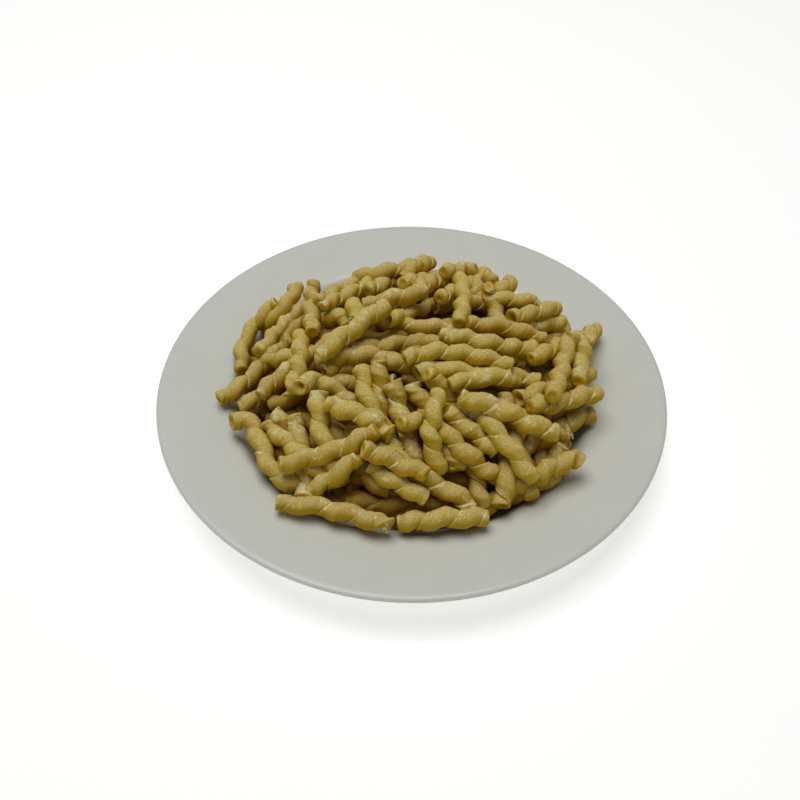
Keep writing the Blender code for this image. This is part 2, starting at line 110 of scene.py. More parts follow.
# The strip's raised edge: its place round the roll, height, spread, lean and the width of its flour
LIP_AT = 0.955
LIP_RISE = 0.14
LIP_SPREAD = 0.12
LIP_OVERHANG = 0.13
LIP_FLOUR_WIDTH = 0.034
# How far the roll strays from its middle line, and how much its thickness changes
OFF_MIDDLE = 0.16
SWELL = 0.06
# Dents: depth, the folds round the roll with their length along it in metres, and its range
LUMPS = 0.022
LUMP_WAVES = ((1, 0.013), (2, 0.009), (3, 0.006))
LUMP_RANGE = (0.8, 1.3)
# Waves in one seeded wobble, and the length in metres over which a kink in the line is smoothed
WAVES = 3
BEND_EASE = 0.0015
# Points stand closer together by the strip's outer and inner edge: how much, and how near
OUTER_CROWD = (5.0, 0.07)
INNER_CROWD = (2.0, 0.08)
# Length of an end with flour on it, and how much flour a twist may have
FLOUR_END = 0.006
FLOUR_CHOICES = (0.15, 0.3, 0.5)
PLATE_GAP = 0.0003

# Ends: reach of the change along the twist in metres, growth across and along the flat way, slanting
# and ragged cut in metres, shift of the middle, and inner rings as (share of the radius, metres in)
INNER_RINGS = 3
RING_SHRINK = 0.7
END_STYLES = {
    "open": (0.006, 0.02, -0.06, 0.0012, 0.00012, 0.06, ((0.84, 0), (0.50, 0.0005), (0.34, 0.0038))),
    "flare": (
        0.008, 0.09, -0.04, 0.0018, 0.00018, 0.03, ((0.86, 0.0001), (0.62, 0.0012), (0.42, 0.0052)),
    ),
    "pinch": (
        0.011, 0.02, -0.36, 0.0022, 0.0002, 0, ((0.82, -0.0004), (0.55, -0.0006), (0.28, -0.0004)),
    ),
    "point": (
        0.013, -0.30, -0.44, 0.0030, 0.0002, 0, ((0.80, -0.0005), (0.50, -0.0009), (0.25, -0.0010)),
    ),
    "blunt": (
        0.006, -0.12, -0.16, 0.0008, 0.0001, 0.06,
        ((0.84, -0.0005), (0.52, -0.0008), (0.24, -0.0004)),
    ),
}
END_MIX = ("open", "blunt", "pinch", "blunt", "blunt")

# Sides, rings and first seeds of the open twists, those in the gaps and the hidden ones
FINE_SIDES, FINE_RINGS = 28, 66
DEEP_SIDES, DEEP_RINGS = 20, 50
FILL_SIDES, FILL_RINGS = 16, 36
OPEN_SEED, DEEP_SEED, UNDER_SEED = 100, 400, 700

# Twists in the gaps, in widths: depth below the mound and distance from the others
DEEP_SINK = 1.25
DEEP_APART = 0.95
DEEP_ROUNDS = 12
# Longest push in one round, and the one that ends the rounds, in metres
DEEP_PUSH = 0.012
DEEP_STILL = 0.0005
# How far below the mound the painted shade on the dough starts and over what depth, in widths
PAINTED_SHADE_FROM = 0.7
PAINTED_SHADE_OVER = 1.3

# Hidden twists: seeded places, slants, lengths, bows and tilts
FILL_SEED = 5
FILL_TRIES = 5000
FILL_SPREAD = 0.93
FILL_SWING = 1.2
FILL_LENGTHS = (0.85, 1.05)
FILL_BOW = 0.12
FILL_TILT = 0.008
HIDING_REACH = 12.0
# Depth in widths, count, least spacing in widths, share that has to be out of sight
FILL_LAYERS = ((0.75, 34, 0.75, 0.95), (1.8, 50, 0.6, 0.75), (2.8, 50, 0.5, 0.5))
# The heap's outline as cells of the picture, in picture points
CELLS = 200
CELL = 4.0
OUTLINE_REACH = 9.0

# The core: steps round, rings, depth in widths, thickness at its edge, and the size and tightness of
# the lumps on it
CORE_RADIUS = 0.086
CORE_STEPS = 64
CORE_RINGS = 14
CORE_SINK = 2.6
CORE_EDGE = 0.0005
CORE_LUMP = 0.0012
CORE_LUMPS_X, CORE_LUMPS_Y = 420, 390

# Lights: name, place, side in metres and colour
LIGHTS = (
    ("key", (-0.20, 0.24, 1.64), 1.2, (1.0, 0.99, 0.97)),
    ("front_fill", (0.5, -0.9, 0.8), 1.0, (0.95, 0.98, 1.0)),
)
LIGHTS_LOOK_AT = (0.0, 0.0, 0.04)
SKY_COLOUR = (1.0, 1.0, 0.99, 1.0)
SENSOR_WIDTH = 36.0

# Each twist is its hidden end and its points from tail to head, across and down. Later ones lie over
# earlier ones. A hidden end, t for tail, h for head, b for both, runs on out of sight.
LEFT_TWISTS = (
    ("h", 264, 363, 312, 354), ("", 276, 302, 253, 328, 242, 349, 242, 371),
    ("", 303, 308, 284, 325, 259, 352), ("h", 240, 409, 280, 386),
    ("h", 270, 405, 292, 398, 316, 386), ("h", 274, 412, 284, 425, 290, 444),
    ("h", 293, 416, 298, 430, 301, 452), ("h", 268, 426, 282, 438, 304, 458),
    ("h", 219, 399, 240, 387, 263, 366), ("h", 260, 396, 274, 381, 304, 360),
    ("", 300, 334, 300, 352, 298, 370, 290, 397),
    ("", 230, 422, 248, 420, 262, 447, 275, 475, 300, 485), ("", 318, 322, 337, 317, 353, 325),
    ("", 313, 282, 312, 305, 312, 332), ("h", 298, 287, 282, 310),
)
MIDDLE_LEFT_TWISTS = (
    ("b", 326, 385, 362, 383), ("h", 323, 373, 340, 368, 360, 366),
    ("h", 298, 388, 316, 379, 336, 391), ("h", 319, 392, 319, 410, 320, 430, 326, 445),
    ("b", 372, 350, 392, 347, 412, 350), ("h", 349, 351, 380, 347),
    ("b", 350, 357, 368, 355, 386, 360), ("h", 386, 362, 412, 366),
    ("h", 379, 360, 380, 378, 381, 402), ("h", 391, 381, 398, 404),
    ("h", 410, 384, 420, 398, 427, 411), ("h", 362, 369, 364, 385, 368, 402, 380, 424),
    ("", 327, 404, 347, 410, 368, 419, 392, 435), ("h", 400, 423, 440, 421),
)
TOP_TWISTS = (
    ("", 318, 302, 345, 288, 366, 281), ("h", 322, 306, 345, 296, 376, 281),
    ("h", 368, 291, 402, 275), ("b", 378, 274, 410, 267), ("", 404, 278, 419, 262),
    ("h", 403, 284, 428, 281), ("h", 418, 288, 454, 275), ("h", 485, 272, 478, 284, 472, 296),
    ("", 444, 272, 476, 269), ("", 484, 274, 497, 288), ("t", 500, 293, 513, 280),
    ("h", 488, 286, 497, 318), ("t", 500, 300, 534, 301), ("h", 563, 322, 526, 328),
    ("", 511, 318, 557, 308), ("h", 422, 342, 448, 347), ("b", 402, 325, 453, 330),
    ("t", 404, 315, 388, 321), ("h", 433, 306, 455, 305), ("h", 440, 298, 457, 290),
    ("", 460, 277, 463, 300, 459, 324), ("", 468, 323, 505, 328, 544, 339),
    ("", 364, 306, 392, 299, 427, 291), ("", 353, 302, 358, 321),
    ("", 320, 356, 340, 339, 365, 320, 386, 306), ("", 442, 336, 465, 339, 500, 346, 538, 351),
)
RIGHT_TWISTS = (
    ("t", 516, 378, 539, 381), ("h", 517, 399, 549, 388), ("", 531, 359, 548, 352, 568, 341),
    ("t", 574, 350, 596, 329), ("t", 570, 350, 580, 338, 593, 343),
    ("", 582, 338, 581, 360, 578, 382), ("", 530, 407, 560, 401, 598, 393),
    ("", 573, 333, 566, 352, 559, 375, 552, 396), ("t", 556, 431, 575, 420, 592, 414),
    ("t", 537, 463, 553, 451, 566, 442), ("t", 545, 440, 571, 431),
    ("", 538, 474, 552, 463, 563, 446), ("t", 548, 470, 568, 461, 584, 460),
)
MIDDLE_RIGHT_TWISTS = (
    ("h", 416, 374, 435, 368, 478, 375), ("", 405, 359, 430, 352, 460, 353, 490, 360, 512, 366),
    ("h", 427, 374, 440, 382, 448, 397), ("", 450, 385, 470, 380, 490, 378, 510, 377),
    ("", 438, 426, 462, 450, 498, 479), ("", 446, 411, 472, 432, 496, 452),
    ("", 483, 418, 504, 442, 521, 463, 534, 480), ("", 460, 397, 495, 408, 530, 424, 557, 433),
    ("", 438, 392, 434, 412, 430, 432, 434, 455, 440, 472),
)
FRONT_TWISTS = (
    ("h", 484, 508, 481, 496), ("h", 501, 508, 503, 493, 506, 480),
    ("t", 418, 474, 432, 483, 450, 491, 471, 509), ("", 370, 466, 395, 482, 426, 499),
    ("", 279, 464, 318, 456, 352, 444, 376, 430), ("", 308, 493, 330, 480, 350, 464, 358, 456),
    ("", 362, 449, 380, 455, 400, 464, 427, 474), ("", 398, 523, 440, 519, 487, 517),
    ("", 277, 503, 330, 509, 392, 526),
)
GROUPS = {
    "left": LEFT_TWISTS,
    "middle_left": MIDDLE_LEFT_TWISTS,
    "top": TOP_TWISTS,
    "right": RIGHT_TWISTS,
    "middle_right": MIDDLE_RIGHT_TWISTS,
    "front": FRONT_TWISTS,
}
TWISTS = sum(GROUPS.values(), ())
# Lift of tail and head over the mound in mm, by the twist's number
LIFTS = {
    1: (-5, -13), 2: (-2, -10), 11: (-3, -8), 13: (14, 0), 23: (0, -8), 24: (0, -10), 25: (2, -4),
    29: (0, -3), 31: (4, 0), 37: (-3, -2), 38: (-6, -4), 40: (3, 0), 46: (-7, -9), 50: (0, 6),
    54: (0, 6), 67: (-2, 0), 77: (-8, -16), 78: (-8, -4), 79: (-4, -6), 82: (-8, 0), 84: (-2, -3),
    85: (-1, -4),
}

# How single twists differ, by number: the looks of their ends, their width to the usual one, their
# flour and the length of one turn. What isn't listed is seeded.
LOOKS = {
    "tail": {
        "blunt": (
            1, 5, 6, 8, 9, 13, 14, 27, 29, 31, 34, 37, 38, 48, 49, 50, 53, 54, 57, 61, 62, 69, 70,
            71, 72, 73, 74, 75, 76, 80, 81, 82, 84, 85,
        ),
        "open": (11, 16, 17, 18, 20, 26, 43, 68, 77, 78, 83),
        "flare": (24, 47),
        "pinch": (25, 30, 40, 66),
    },
    "head": {
        "blunt": (
            1, 2, 13, 33, 37, 38, 41, 43, 49, 50, 54, 58, 59, 60, 61, 62, 64, 66, 69, 72, 73, 74,
            75, 79, 81, 82, 83, 84,
        ),
        "open": (46, 53, 63, 71, 76),
        "pinch": (65, 67, 85),
        "point": (39,),
    },
    "wide": {
        0.85: (46,), 0.9: (29, 33), 0.92: (14, 30), 0.94: (1, 2, 13, 66), 1.05: (31,),
        1.06: (18, 27, 67, 78), 1.08: (79,), 1.1: (25, 34, 75),
    },
    "flour": {
        0.3: (48,), 0.5: (17, 18, 71, 79), 0.6: (5, 6, 9, 25, 59, 63, 64, 65, 73, 75, 80, 85),
        0.8: (24,),
    },
    "pitch": {0.0105: (10,)},
}
# The hidden ones are plain
UNDER_LOOK = {"tail": "blunt", "head": "blunt", "flour": 0.12, "pitch": 0.018}

# Seen only in gaps, written the same way
DEEP_TWISTS = (
    ("h", 270, 353, 305, 343), ("b", 383, 341, 425, 342), ("b", 322, 393, 365, 382),
    ("b", 378, 392, 404, 432), ("h", 286, 466, 322, 483), ("b", 370, 480, 408, 495),
    ("h", 346, 503, 408, 505), ("", 354, 489, 318, 493), ("t", 445, 474, 488, 489),
    ("t", 492, 466, 530, 482), ("b", 512, 424, 524, 468), ("b", 470, 396, 512, 398),
    ("b", 500, 408, 550, 410), ("t", 533, 423, 572, 407), ("b", 505, 362, 538, 371),
    ("b", 400, 455, 428, 432), ("b", 385, 424, 406, 458), ("b", 298, 448, 330, 440),
    ("b", 302, 412, 308, 445), ("t", 528, 440, 540, 470), ("t", 546, 340, 566, 335),
    ("b", 312, 372, 324, 336), ("t", 512, 494, 556, 474), ("h", 262, 352, 302, 345),
    ("t", 290, 345, 299, 312), ("b", 300, 392, 345, 400), ("b", 330, 430, 365, 442),
    ("b", 395, 402, 428, 412), ("b", 440, 444, 470, 470), ("b", 385, 330, 430, 328),
    ("b", 320, 325, 355, 333),
)

# The camera's axes, as rows of the world
VIEW = np.array([0.0, math.cos(CAMERA_PITCH), -math.sin(CAMERA_PITCH)])
VIEW_UP = np.array([0.0, math.sin(CAMERA_PITCH), math.cos(CAMERA_PITCH)])
VIEW_RIGHT = np.array([1.0, 0.0, 0.0])
EYE = np.array(CAMERA_TARGET) - CAMERA_DISTANCE * VIEW

ALONG = np.linspace(0, 1, SAMPLES)
# A twist's heights follow a parabola through those at its tail, middle and head
PARABOLA = np.stack(
    [(1 - ALONG) * (1 - 2 * ALONG), 4 * ALONG * (1 - ALONG), ALONG * (2 * ALONG - 1)], axis=1
)


def plate_height(radius):
    """Height of the plate's upper face at this radius."""
    at, height = np.array(PLATE_TOP).T
    return np.interp(radius, at, height)


def rest_height(radius):
    """Height of a twist's middle where its thickest section just clears the plate."""
    reach = TWIST_WIDTH * (0.5 + LOBE / 2) + CLEARANCE
    aside = np.linspace(-1, 1, 9) * reach
    below = plate_height(np.asarray(radius)[..., None] + aside)
    return (below + np.sqrt(reach**2 - aside**2)).max(axis=-1)


def mound_height(x, y):
    """Height of the smooth mound that the outermost twists follow."""
    share = 1 - (np.hypot(x, y) / HEAP_RADIUS) ** 2
    low = PLATE_HEIGHT - 0.003 + TWIST_WIDTH * 0.9
    return low + (HEAP_RISE - TWIST_WIDTH * 0.9) * share


def rays(pixels):
    """The way of each picture point, one unit deep."""
    across = (pixels[..., 0:1] - PICTURE_MIDDLE) / CAMERA_FOCAL
    rise = (PICTURE_MIDDLE - pixels[..., 1:2]) / CAMERA_FOCAL
    return VIEW + across * VIEW_RIGHT + rise * VIEW_UP


def on_ray(pixels, height):
    """The places at these heights that are seen at these picture points."""
    way = rays(pixels)
    return EYE + way * ((height - EYE[2]) / way[..., 2])[..., None]


def in_picture(spots):
    """Where places are seen in the picture, and how deep."""
    way = spots - EYE
    depth = way @ VIEW
    across = PICTURE_MIDDLE + CAMERA_FOCAL * way[:, 0] / depth
    down = PICTURE_MIDDLE - CAMERA_FOCAL * (way @ VIEW_UP) / depth
    return np.stack([across, down], axis=1), depth


def spline(points, cuts):
    """A smooth line through the points, with this many steps between each two."""
    points = np.array(points, float)
    ends = np.concatenate([[2 * points[0] - points[1]], points, [2 * points[-1] - points[-2]]])
    line = []
    for a, b, c, d in zip(ends, ends[1:], ends[2:], ends[3:]):
        for t in np.arange(cuts) / cuts:
            line.append(
                0.5 * (2 * b + (c - a) * t + (2 * a - 5 * b + 4 * c - d) * t**2)
                + 0.5 * (3 * b - 3 * c + d - a) * t**3
            )
    return np.array(line + [points[-1]])


def steps_of(line):
    """How long the steps between a line's points are."""
    return np.linalg.norm(np.diff(line, axis=0), axis=1)


def run_of(line):
    """How far along the line each of its points is."""
    return np.concatenate([[0], steps_of(line).cumsum()])


def places(line, run, at):
    """The line's places so far along it."""
    return np.stack([np.interp(at, run, column) for column in line.T], axis=-1)


def read_path(spots):
    """Evenly spaced points on a smooth line through the spots of a row."""
    line = spline(np.reshape(spots, (-1, 2)), 8)
    run = run_of(line)
    return places(line, run, np.linspace(0, run[-1], SAMPLES))


def surface_heights(pixels):
    """Heights half a width below the mound, found by steps along each ray."""
    height = np.full(pixels.shape[:-1], PLATE_HEIGHT + HEAP_RISE * 0.5)
    for _ in range(60):
        spot = on_ray(pixels, height)
        x, y = spot[..., 0], spot[..., 1]
        wanted = mound_height(x, y) - TWIST_WIDTH / 2
        wanted = np.maximum(wanted, plate_height(np.hypot(x, y)) + TWIST_WIDTH / 2)
        height = height + 0.5 * (wanted - height)
    return height


def extended(pixels, hidden):
    """Runs the hidden ends of a twist on to full length, and says which points are seen."""
    points = on_ray(pixels, surface_heights(pixels))
    length = steps_of(points).sum()
    missing = TWIST_LENGTH - length
    if missing <= 0.002 or not hidden:
        return pixels, np.ones(SAMPLES, bool)
    scale = length / steps_of(pixels).sum()
    before = missing * {"t": 1, "h": 0, "b": 0.5}[hidden]
    after = missing - before
    whole = list(pixels[::3])
    if before:
        way = pixels[0] - pixels[3]
        whole.insert(0, pixels[0] + way / np.linalg.norm(way) * before / scale)
    if after:
        way = pixels[-1] - pixels[-4]
        whole.append(pixels[-1] + way / np.linalg.norm(way) * after / scale)
    run = np.linspace(0, length + missing, SAMPLES)
    return read_path(whole), (run >= before - 1e-6) & (run <= length + before + 1e-6)


def crossings(pixels, seen, scale):
    """Pairs of points that cross in the view, as (lower, upper, depth between them, weight)."""
    flat = pixels.reshape(-1, 2)
    scale = scale.reshape(-1)
    seen = seen.reshape(-1)
    lower, upper, needed, weight = [], [], [], []
    touch = TWIST_WIDTH * CONTACT
    for start in range(0, len(flat) - SAMPLES, SAMPLES):
        mine = slice(start, start + SAMPLES)
        rest = slice(start + SAMPLES, None)
        apart = np.linalg.norm(flat[mine, None] - flat[None, rest], axis=-1) * scale[mine, None]
        i, j = np.nonzero(apart < touch)
        needed.append(np.sqrt(touch**2 - apart[i, j] ** 2))
        i, j = i + start, j + start + SAMPLES
        swap = seen[i] & ~seen[j]
        lower.append(np.where(swap, j, i))
        upper.append(np.where(swap, i, j))
        weight.append(np.where(seen[i] & seen[j], 1.0, UNSEEN_WEIGHT))
    return [np.concatenate(part) for part in (lower, upper, needed, weight)]


def add_wish(matrix, right, unknown, row, wanted, weight):
    """Adds a weighted wish to the equations for each row: that the row's sum is what is wanted."""
    pairs = (unknown[:, :, None], unknown[:, None, :])
    np.add.at(matrix, pairs, weight[:, None, None] * row[:, :, None] * row[:, None, :])
    np.add.at(right, unknown, weight[:, None] * row * wanted[:, None])


def settled(pixels, seen, target, keep):
    """Heights that keep crossing twists apart, near their targets and off the plate."""
    count = len(pixels)
    scale = ((on_ray(pixels, target) - EYE) @ VIEW) / CAMERA_FOCAL
    lower, upper, needed, firm = crossings(pixels, seen, scale)
    basis = np.tile(PARABOLA, (count, 1))
    unknown = np.repeat(np.arange(count), SAMPLES)[:, None] * 3 + np.arange(3)
    fall = rays(pixels)[..., 2].reshape(-1)
    fixed = np.zeros((3 * count, 3 * count))
    aim = np.zeros(3 * count)
    add_wish(fixed, aim, unknown, basis, target.reshape(-1), np.repeat(keep, SAMPLES))
    bend = np.array([-0.5, 1.0, -0.5])
    tilt = np.array([-1.0, 0.0, 1.0])
    stiff = BEND_COST * np.outer(bend, bend) + TILT_COST * np.outer(tilt, tilt)
    for k in range(count):
        mine = slice(3 * k, 3 * k + 3)
        fixed[mine, mine] += stiff
        aim[mine] += TILT_COST * TILT_SHARE * (target[k, -1] - target[k, 0]) * tilt
    heights = target[:, [0, SAMPLES // 2, -1]].reshape(-1)
    for turn in range(ROUNDS):
        z = (basis * heights[unknown]).sum(axis=1)
        depth = (z - EYE[2]) / fall
        close = depth[lower] - depth[upper] < needed
        low, high = lower[close], upper[close]
        columns = np.concatenate([unknown[low], unknown[high]], axis=1)
        row = np.concatenate([basis[low] / fall[low, None], basis[high] / -fall[high, None]], axis=1)
        want = needed[close] + EYE[2] * (1 / fall[low] - 1 / fall[high])
        matrix, right = fixed.copy(), aim.copy()
        add_wish(matrix, right, columns, row, want, firm[close])
        spot = on_ray(pixels.reshape(-1, 2), z)
        floor = plate_height(np.hypot(spot[:, 0], spot[:, 1])) + TWIST_WIDTH / 2 + CLEARANCE
        hit = z < floor
        cost = np.full(hit.sum(), FLOOR_COST)
        add_wish(matrix, right, unknown[hit], basis[hit], floor[hit], cost)
        step = 0.5 if turn < ROUNDS - 8 else 0.3
        heights = heights + step * (np.linalg.solve(matrix, right) - heights)
    return (basis * heights[unknown]).sum(axis=1).reshape(count, SAMPLES)


def trimmed(points, seen):
    """Cuts hidden ends back until the twist is no longer than it should be."""
    run = run_of(points)
    first = run[seen.argmax()]
    last = run[len(seen) - 1 - seen[::-1].argmax()]
    hidden = first + run[-1] - last
    spare = max(TWIST_LENGTH * LONGEST - (last - first), 0)
    share = min(1.0, spare / hidden) if hidden > 0 else 0.0
    at = np.linspace(first - first * share, last + (run[-1] - last) * share, len(points))
    return places(points, run, at)


def laid_twists():
    """The middle line of every twist, in metres."""
    pixels, seen, lifts, keep = [], [], [], []
    for number, (hidden, *spots) in enumerate(TWISTS):
        line, shown = extended(read_path(spots), hidden)
        pixels.append(line)
        seen.append(shown)
        tail, head = LIFTS.get(number, (0, 0))
        lifts.append((tail + (head - tail) * ALONG) * 0.001)
        keep.append(KEEP_LIFTED if number in LIFTS else KEEP)
    pixels, seen = np.array(pixels), np.array(seen)
    target = surface_heights(pixels) + np.array(lifts)
    points = on_ray(pixels, settled(pixels, seen, target, keep))
    points = [trimmed(line, shown) for line, shown in zip(points, seen)]
    return np.array([off_plate(line) for line in points])


def off_plate(line):
    """Moves a twist towards the eye until it clears the plate."""
    way = (line - EYE) / ((line - EYE) @ VIEW)[:, None]
    for _ in range(6):
        under = rest_height(np.hypot(line[:, 0], line[:, 1])) - line[:, 2]
        line = line + way * min((under / way[:, 2]).min(), 0)
    return line


def deep_lines(shown, outline):
    """The middle lines of the twists that are seen in the gaps, below the laid ones."""
    lines = []
    least = TWIST_WIDTH * DEEP_APART
    at, depth = in_picture(shown.reshape(-1, 3))
    for hidden, *spots in DEEP_TWISTS:
        pixels, seen = extended(read_path(spots), hidden)
        target = surface_heights(pixels) - TWIST_WIDTH * DEEP_SINK
        points = on_ray(pixels, target)
        for _ in range(DEEP_ROUNDS):
            here, mine = in_picture(points)
            apart = np.linalg.norm(here[:, None] - at[None], axis=-1) * mine[:, None] / CAMERA_FOCAL
            room = np.sqrt(np.maximum(least**2 - apart**2, 0))
            over = np.where(apart < least, depth[None] + room - mine[:, None], -1).max(axis=1)
            push = np.clip(over, 0, DEEP_PUSH)
            if push.max() < DEEP_STILL:
                break
            points = points + rays(pixels) * smoothed(push)[:, None] * 0.5
        lines.append(off_plate(trimmed(points, seen & inside(outline, points))))
    return lines


def heap_outline(shown):
    """A grid over the picture that is true inside the heap's outline."""
    at = in_picture(shown.reshape(-1, 3))[0]
    rows, columns = np.mgrid[0:CELLS, 0:CELLS] * CELL + CELL / 2
    covered = np.zeros((CELLS, CELLS), bool)
    for x, y in at:
        covered |= (columns - x) ** 2 + (rows - y) ** 2 < OUTLINE_REACH**2
    whole = np.ones_like(covered)
    for axis in (0, 1):
        whole &= np.maximum.accumulate(covered, axis=axis)
        whole &= np.flip(np.maximum.accumulate(np.flip(covered, axis), axis=axis), axis)
    return whole


def inside(outline, points):
    """Which points stay inside the outline with a twist round them."""
    at = in_picture(points)[0]
    within = np.ones(len(points), bool)
    for turn in np.arange(8) * math.tau / 8:
        spot = at + OUTLINE_REACH * np.array([math.cos(turn), math.sin(turn)])
        cell = np.clip((spot / CELL).astype(int), 0, CELLS - 1)
        within &= outline[cell[:, 1], cell[:, 0]]
    return within


def smoothed(values):
    """A gentle curve over the values, so that a twist bends and doesn't kink."""
    spread = np.polynomial.polynomial.polyfit(ALONG, values, 2)
    return np.maximum(np.polynomial.polynomial.polyval(ALONG, spread), 0)


def loose_line(rng, reach, depth):
    """A nearly straight line at a seeded place, so deep below the mound."""
    turn = rng.uniform(0, math.tau)
    away = reach * math.sqrt(rng.random())
    heading = turn + math.pi / 2 + rng.uniform(-FILL_SWING, FILL_SWING)
    length = TWIST_LENGTH * rng.uniform(*FILL_LENGTHS)
    along = (ALONG - 0.5) * length
    across = rng.uniform(-FILL_BOW, FILL_BOW) * length * (1 - 4 * (ALONG - 0.5) ** 2)
    x = away * math.cos(turn) + along * math.cos(heading) - across * math.sin(heading)
    y = away * math.sin(turn) + along * math.sin(heading) + across * math.cos(heading)
    z = mound_height(x, y) - depth + (ALONG - 0.5) * rng.uniform(-FILL_TILT, FILL_TILT)
    return np.stack([x, y, np.maximum(z, rest_height(np.hypot(x, y)))], axis=1)


def fill_lines(shown, outline):
    """Seeded twists below and behind the read ones, hidden from the camera or deep in a gap."""
    rng = random.Random(FILL_SEED)
    at, depth = in_picture(shown.reshape(-1, 3))
    others = shown.reshape(-1, 3)
    placed = []
    for sink, count, spacing, share in FILL_LAYERS:
        laid = 0
        for _ in range(FILL_TRIES):
            if laid == count:
                break
            line = loose_line(rng, HEAP_RADIUS * FILL_SPREAD, TWIST_WIDTH * sink)
            if not inside(outline, line).all():
                continue
            gaps = np.linalg.norm(line[:, None] - others[None], axis=-1).min(axis=1)
            if gaps.min() < TWIST_WIDTH * spacing:
                continue
            here, mine = in_picture(line)
            apart = np.linalg.norm(here[:, None] - at[None], axis=-1)
            hiding = ((apart < HIDING_REACH) & (depth[None] < mine[:, None])).any(axis=1)
            if hiding.mean() < share:
                continue
            placed.append(line)
            others = np.concatenate([others, line])
            laid += 1
    return placed


def axes_along(line, stations):
    """The middle, way, side and rise of a line at these shares of its length."""
    step = steps_of(line)
    run = run_of(line)
    length = run[-1]
    at = stations * length

    def place(where):
        spot = places(line, run, np.clip(where, 0, length))
        first = (line[1] - line[0]) / step[0]
        last = (line[-1] - line[-2]) / step[-1]
        spot = spot + np.minimum(where, 0)[..., None] * first
        return spot + np.maximum(where - length, 0)[..., None] * last

    middle = (place(at - BEND_EASE) + 2 * place(at) + place(at + BEND_EASE)) / 4
    way = place(at + 2 * BEND_EASE) - place(at - 2 * BEND_EASE)
    way /= np.linalg.norm(way, axis=-1)[..., None]
    side = np.cross(way, (0.0, 0.0, 1.0))
    side /= np.linalg.norm(side, axis=-1)[..., None]
    rise = np.cross(side, way)
    return middle, way, side, rise, length


def waves(rng, where, wavelength):
    """A seeded smooth wobble between about -1 and 1."""
    total = np.zeros_like(where)
    for _ in range(WAVES):
        length = wavelength * rng.uniform(0.6, 1.5)
        total += np.sin(math.tau * where / length + rng.uniform(0, math.tau))
    return total / WAVES


def roll_section(share, depth):
    """Reach of the rolled strip round its middle: a groove beside the strip's raised edge."""
    swell = 1.0 - depth * np.exp(-share / GROOVE_WIDTH)
    lip = LIP_RISE * depth * np.exp(-np.abs(LIP_AT - share) / LIP_SPREAD)
    fall = np.clip((share - LIP_AT) / (1 - LIP_AT), 0, 1)
    drop = fall * fall * (3 - 2 * fall)
    return (swell + lip) * (1 - drop) + (1 - depth) * drop


